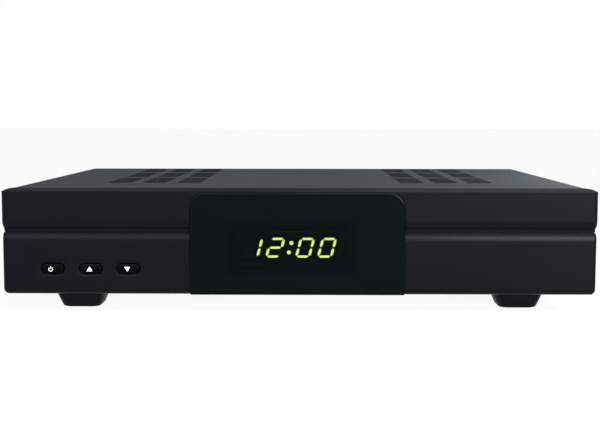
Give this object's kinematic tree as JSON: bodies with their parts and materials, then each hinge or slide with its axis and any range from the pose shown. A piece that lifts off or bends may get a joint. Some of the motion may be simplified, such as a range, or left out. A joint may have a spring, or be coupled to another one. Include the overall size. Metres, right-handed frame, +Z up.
{
  "type": "satellite television receiver",
  "caption": "Low steel-cased television receiver with a grooved black front, a dark window over a clock display, press buttons at the left and sockets at the back.",
  "frame": {"origin": "on the surface that the feet stand on, under the middle of the whole", "axes": "+X to the right seen from the front, +Y from the front to the back, +Z up"},
  "size_m": [0.3, 0.229, 0.062],
  "materials": {
    "cover_paint": "satin",
    "zinc_plate": "satin",
    "fascia_plastic": "satin",
    "window_plastic": "gloss",
    "button_plastic": "satin",
    "foot_plastic": "satin",
    "dark_plastic": "matt",
    "lit_bars": "gloss",
    "unlit_bars": "matt",
    "circuit_board": "satin",
    "ribbon_plastic": "satin",
    "brass_posts": "satin",
    "zinc_screws": "satin",
    "black_screws": "satin",
    "insulator": "matt",
    "sink_aluminium": "satin",
    "capacitor_sleeve": "gloss",
    "tinned_steel": "satin",
    "nickel_plate": "polished",
    "brass_pins": "polished",
    "fuse_plastic": "matt",
    "ferrite": "matt",
    "copper_wire": "gloss",
    "winding_tape": "satin",
    "plug_plastic": "satin"
  },
  "bodies": {
    "case": {"antenna_input_socket": "nickel_plate", "antenna_output_socket": "nickel_plate", "board_posts": "brass_posts", "board_screws": "zinc_screws", "bulk_capacitor": "capacitor_sleeve", "chassis_tray": "zinc_plate", "cover_screws": "black_screws", "display_lit_bars": "lit_bars", "display_module": "dark_plastic", "display_unlit_bars": "unlit_bars", "display_window": "window_plastic", "down_switch_body": "dark_plastic", "fascia_screws": "zinc_screws", "feet": "foot_plastic", "foot_screws": "zinc_screws", "front_board": "circuit_board", "front_fascia": "fascia_plastic", "front_ribbon": "ribbon_plastic", "harness_plugs": "plug_plastic", "infrared_receiver": "dark_plastic", "insulating_sheet": "insulator", "line_choke_core": "ferrite", "line_choke_windings": "copper_wire", "main_board": "circuit_board", "mains_fuse": "fuse_plastic", "mains_inlet": "dark_plastic", "mains_pins": "brass_pins", "memory_chips": "dark_plastic", "phono_barrels": "nickel_plate", "phono_block": "dark_plastic", "power_board": "circuit_board", "power_harness": "ribbon_plastic", "power_heat_sink": "sink_aluminium", "power_switch_body": "dark_plastic", "processor_chip": "dark_plastic", "processor_heat_sink": "sink_aluminium", "rear_panel": "zinc_plate", "serial_jack_posts": "nickel_plate", "serial_socket": "nickel_plate", "small_capacitors": "capacitor_sleeve", "switching_transistor": "dark_plastic", "television_sockets": "dark_plastic", "top_cover": "cover_paint", "transformer_core": "ferrite", "transformer_winding": "winding_tape", "tuner_can": "tinned_steel", "up_switch_body": "dark_plastic"},
    "power_key": {"power_button": "button_plastic", "power_switch_stem": "dark_plastic"},
    "up_key": {"up_button": "button_plastic", "up_switch_stem": "dark_plastic"},
    "down_key": {"down_button": "button_plastic", "down_switch_stem": "dark_plastic"}
  },
  "joints": [
    {"name": "power_press", "type": "slide", "parent": "case", "child": "power_key", "axis": [0, 1, 0], "range_m": [0, 0.0006], "stiffness_N_per_m": 2500, "springref_m": -0.0001},
    {"name": "up_press", "type": "slide", "parent": "case", "child": "up_key", "axis": [0, 1, 0], "range_m": [0, 0.0006], "stiffness_N_per_m": 2500, "springref_m": -0.0001},
    {"name": "down_press", "type": "slide", "parent": "case", "child": "down_key", "axis": [0, 1, 0], "range_m": [0, 0.0006], "stiffness_N_per_m": 2500, "springref_m": -0.0001}
  ]
}
